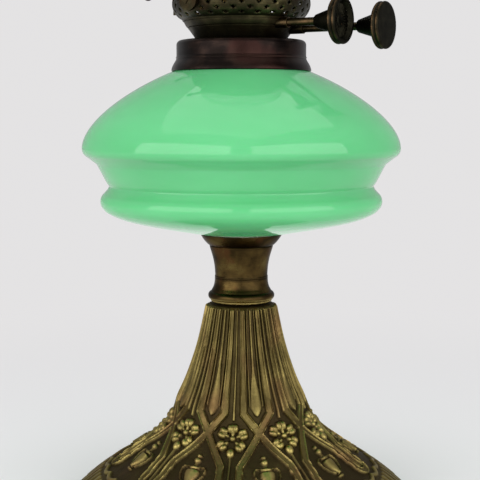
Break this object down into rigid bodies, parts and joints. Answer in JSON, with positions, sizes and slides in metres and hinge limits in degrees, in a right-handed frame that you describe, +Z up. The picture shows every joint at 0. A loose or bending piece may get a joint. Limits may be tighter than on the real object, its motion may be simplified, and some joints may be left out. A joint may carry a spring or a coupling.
{
  "type": "oil table lamp",
  "caption": "Twin-wick oil table lamp: spreading cast brass foot, opaque green glass font, lift-out burner with side winders, lifting gallery and clear chimney.",
  "frame": {"origin": "centre of the pad's underside, where the foot rests", "axes": "+Z up along the lamp's axis; +X along the winder spindles towards their knobs"},
  "size_m": [0.184, 0.184, 0.5022],
  "materials": {
    "cast_brass": "antique patina, worn highlights",
    "turned_brass": "aged lacquered brass",
    "opal_glass": "opaque green opaline, glossy",
    "collar_brass": "dark reddish patina",
    "burner_brass": "dark patina",
    "bright_brass": "worn brass",
    "spindle_brass": "dull, handled",
    "knob_brass": "near-black patina, coppery worn rims",
    "iron": "rough casting",
    "cement": "matt white setting cement",
    "baize": "felted cloth",
    "cotton": "woven cotton",
    "clear_glass": "clear, blown"
  },
  "bodies": {
    "lamp_base": {"foot_pad": "baize", "foot_casting": "cast_brass", "ballast_disc": "iron", "tie_rod": "iron", "tie_rod_washer": "iron", "tie_rod_nut": "iron", "neck_ring": "turned_brass", "neck_cup": "turned_brass", "font_cap": "turned_brass", "font_cement": "cement", "font": "opal_glass", "collar_cement": "cement", "collar": "collar_brass"},
    "burner": {"burner_cup": "burner_brass", "burner_floor": "burner_brass", "wick_tube_front": "burner_brass", "wick_tube_back": "burner_brass", "spindle_bushes": "bright_brass", "spindle_posts": "burner_brass", "air_plate": "burner_brass", "burner_basket": "burner_brass", "gallery_guides": "bright_brass", "lever_bracket": "burner_brass", "lever_pin": "bright_brass", "snuffer_bearing": "burner_brass"},
    "winder_front": {"winder_front_spindle": "spindle_brass", "winder_front_wheels": "bright_brass", "winder_front_knob": "knob_brass"},
    "winder_back": {"winder_back_spindle": "spindle_brass", "winder_back_wheels": "bright_brass", "winder_back_knob": "knob_brass"},
    "wick_front": {"wick_front": "cotton"},
    "wick_back": {"wick_back": "cotton"},
    "snuffer": {"snuffer": "bright_brass"},
    "snuffer_lever": {"snuffer_lever": "burner_brass"},
    "gallery_lever": {"gallery_lever": "burner_brass"},
    "gallery": {"gallery_ring": "burner_brass", "gallery_prongs": "bright_brass", "gallery_legs": "bright_brass", "flame_dome": "bright_brass"},
    "chimney": {"chimney": "clear_glass"}
  },
  "joints": [
    {"name": "burner_lift_out", "type": "slide", "parent": "lamp_base", "child": "burner", "axis": [0, 0, 1], "range_m": [0, 0.09]},
    {"name": "winder_front_turn", "type": "hinge", "parent": "burner", "child": "winder_front", "pos_m": [0, -0.008, 0.2519], "axis": [1, 0, 0], "range_deg": [-240, 80]},
    {"name": "winder_back_turn", "type": "hinge", "parent": "burner", "child": "winder_back", "pos_m": [0, 0.008, 0.2499], "axis": [1, 0, 0], "range_deg": [-80, 240]},
    {"name": "wick_front_slide", "type": "slide", "parent": "burner", "child": "wick_front", "axis": [0, 0, 1], "range_m": [-0.012, 0.004]},
    {"name": "wick_back_slide", "type": "slide", "parent": "burner", "child": "wick_back", "axis": [0, 0, 1], "range_m": [-0.012, 0.004]},
    {"name": "snuffer_slide", "type": "slide", "parent": "burner", "child": "snuffer", "axis": [0, 0, 1], "range_m": [0, 0.006]},
    {"name": "snuffer_lever_turn", "type": "hinge", "parent": "burner", "child": "snuffer_lever", "pos_m": [-0.0079, -0.03, 0.26208], "axis": [0, -1, 0], "range_deg": [0, 36]},
    {"name": "gallery_slide", "type": "slide", "parent": "burner", "child": "gallery", "axis": [0, 0, 1], "range_m": [0, 0.01]},
    {"name": "gallery_lever_turn", "type": "hinge", "parent": "burner", "child": "gallery_lever", "pos_m": [-0.0384, 0, 0.26128], "axis": [0, -1, 0], "range_deg": [0, 39.5]},
    {"name": "chimney_lift_off", "type": "slide", "parent": "gallery", "child": "chimney", "axis": [0, 0, 1], "range_m": [0, 0.05]}
  ],
  "couplings": [
    {"joint": "wick_front_slide", "follows": "winder_front_turn", "m_per_rad": 0.0028},
    {"joint": "wick_back_slide", "follows": "winder_back_turn", "m_per_rad": -0.0028},
    {"joint": "snuffer_lever_turn", "follows": "snuffer_slide", "rad_per_m": 102.04},
    {"joint": "gallery_lever_turn", "follows": "gallery_slide", "rad_per_m": 67.568}
  ]
}
